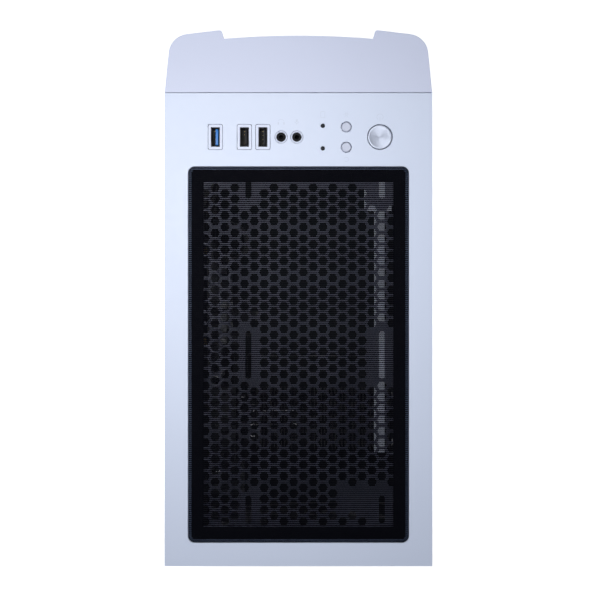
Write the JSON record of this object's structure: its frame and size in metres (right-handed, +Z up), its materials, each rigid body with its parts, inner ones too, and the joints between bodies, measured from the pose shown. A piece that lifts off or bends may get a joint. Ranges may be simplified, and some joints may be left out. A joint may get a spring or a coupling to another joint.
{
  "type": "desktop computer tower",
  "caption": "White desktop computer tower with a perforated filtered top, top-mounted ports and buttons, a windowed side and a complete working interior.",
  "frame": {"origin": "on the floor under the centre of the tower's footprint", "axes": "+Z up, -Y towards the front bezel, +Y towards the rear ports, -X the windowed side"},
  "size_m": [0.21, 0.421, 0.455],
  "materials": {
    "white_plastic": "fine satin texture",
    "white_steel": "white powder coat",
    "black_steel": "black powder coat",
    "filter_band": "smooth magnetic band",
    "filter_mesh": "fine woven vinyl mesh",
    "light_strip": "milky diffuser",
    "circuit_board": "solder mask",
    "usb3_socket": "plated shell with a blue tongue",
    "usb2_socket": "plated shell with a dark tongue",
    "jack_plastic": "black moulding",
    "led_lens": "dark lens",
    "power_metal": "turned face",
    "small_button": "silver satin",
    "grille_steel": "black perforated steel",
    "foot_plastic": "black moulding",
    "foot_rubber": "soft pad",
    "dust_filter": "framed mesh",
    "window": "smoked acrylic",
    "thumbscrew": "black, knurled",
    "motherboard_pcb": "black solder mask",
    "brass": "turned",
    "socket_steel": "plated",
    "slot_plastic": "glass-filled moulding",
    "ram_spreader": "dark anodised",
    "board_heatsink": "grey anodised",
    "port_steel": "plated shells",
    "shield_steel": "dark printed steel",
    "screw_steel": "black zinc",
    "fin_aluminium": "black-coated stamped fins",
    "pipe_nickel": "black nickel plating",
    "fan_plastic": "black moulding",
    "rotor_plastic": "smoked moulding",
    "psu_steel": "black fine texture",
    "wire_chrome": "bent wire",
    "inlet_plastic": "black moulding",
    "rocker_plastic": "black rocker",
    "drive_metal": "cast body",
    "cable_sleeve": "braided sleeve"
  },
  "bodies": {
    "chassis": {"top_cover": "white_plastic", "top_frame": "black_steel", "light_strip": "light_strip", "port_frames": "white_plastic", "io_board": "circuit_board", "usb3_port": "usb3_socket", "usb2_ports": "usb2_socket", "audio_jacks": "jack_plastic", "led_lenses": "led_lens", "front_frame": "black_steel", "base_pan": "black_steel", "feet": "foot_plastic", "foot_pads": "foot_rubber", "rear_frame": "black_steel", "motherboard_tray": "black_steel", "psu_shroud": "black_steel", "motherboard": "motherboard_pcb", "standoffs": "brass", "cpu_socket": "socket_steel", "board_slots": "slot_plastic", "ram_modules": "ram_spreader", "board_heatsinks": "board_heatsink", "board_connectors": "slot_plastic", "rear_io_ports": "port_steel", "rear_audio_jacks": "jack_plastic", "io_shield": "shield_steel", "slot_covers": "black_steel", "rear_screws": "screw_steel", "heatsink_fins": "fin_aluminium", "heat_pipes": "pipe_nickel", "cpu_fan_frame": "fan_plastic", "rear_fan_frame": "fan_plastic", "front_fan_frames": "fan_plastic", "psu_case": "psu_steel", "psu_fan_grille": "wire_chrome", "psu_inlet": "inlet_plastic", "drive_cage": "black_steel", "hard_drive": "drive_metal", "main_power_cable": "cable_sleeve", "cpu_power_cable": "cable_sleeve", "front_io_cable": "cable_sleeve"},
    "top_filter": {"filter_frame": "filter_band", "filter_mesh": "filter_mesh"},
    "power_button": {"power_button": "power_metal"},
    "reset_button": {"reset_button": "small_button"},
    "light_button": {"light_button": "small_button"},
    "front_bezel": {"front_bezel": "white_plastic", "front_mesh": "grille_steel"},
    "psu_filter": {"psu_filter": "dust_filter"},
    "left_panel": {"left_panel": "white_steel", "left_window": "window", "left_thumbscrews": "thumbscrew"},
    "right_panel": {"right_panel": "white_steel", "right_thumbscrews": "thumbscrew"},
    "cpu_fan_rotor": {"cpu_fan_rotor": "rotor_plastic"},
    "rear_fan_rotor": {"rear_fan_rotor": "rotor_plastic"},
    "upper_fan_rotor": {"upper_fan_rotor": "rotor_plastic"},
    "lower_fan_rotor": {"lower_fan_rotor": "rotor_plastic"},
    "psu_fan_rotor": {"psu_fan_rotor": "rotor_plastic"},
    "psu_switch": {"psu_switch": "rocker_plastic"}
  },
  "joints": [
    {"name": "power_button_press", "type": "slide", "parent": "chassis", "child": "power_button", "axis": [0, 0, -1], "range_m": [0, 0.0015], "stiffness_N_per_m": 400},
    {"name": "reset_button_press", "type": "slide", "parent": "chassis", "child": "reset_button", "axis": [0, 0, -1], "range_m": [0, 0.0015], "stiffness_N_per_m": 400},
    {"name": "light_button_press", "type": "slide", "parent": "chassis", "child": "light_button", "axis": [0, 0, -1], "range_m": [0, 0.0015], "stiffness_N_per_m": 400},
    {"name": "top_filter_lift", "type": "slide", "parent": "chassis", "child": "top_filter", "axis": [0, 0, 1], "range_m": [0, 0.06]},
    {"name": "front_bezel_pull", "type": "slide", "parent": "chassis", "child": "front_bezel", "axis": [0, -1, 0], "range_m": [0, 0.08]},
    {"name": "left_panel_slide", "type": "slide", "parent": "chassis", "child": "left_panel", "axis": [0, 1, 0], "range_m": [0, 0.4]},
    {"name": "right_panel_slide", "type": "slide", "parent": "chassis", "child": "right_panel", "axis": [0, 1, 0], "range_m": [0, 0.4]},
    {"name": "psu_filter_slide", "type": "slide", "parent": "chassis", "child": "psu_filter", "axis": [0, 1, 0], "range_m": [0, 0.18]},
    {"name": "upper_front_fan_spin", "type": "hinge", "parent": "chassis", "child": "upper_fan_rotor", "pos_m": [0, -0.1566, 0.368], "axis": [0, 1, 0], "continuous": true},
    {"name": "lower_front_fan_spin", "type": "hinge", "parent": "chassis", "child": "lower_fan_rotor", "pos_m": [0, -0.1566, 0.243], "axis": [0, 1, 0], "continuous": true},
    {"name": "rear_fan_spin", "type": "hinge", "parent": "chassis", "child": "rear_fan_rotor", "pos_m": [-0.034, 0.176, 0.368], "axis": [0, 1, 0], "continuous": true},
    {"name": "cpu_fan_spin", "type": "hinge", "parent": "chassis", "child": "cpu_fan_rotor", "pos_m": [-0.018, 0.047, 0.353], "axis": [0, 1, 0], "continuous": true},
    {"name": "psu_fan_spin", "type": "hinge", "parent": "chassis", "child": "psu_fan_rotor", "pos_m": [-0.007, 0.1309, 0.03], "axis": [0, 0, 1], "continuous": true},
    {"name": "psu_switch_rock", "type": "hinge", "parent": "chassis", "child": "psu_switch", "pos_m": [-0.056, 0.1998, 0.056], "axis": [1, 0, 0], "range_deg": [-18, 0]}
  ]
}
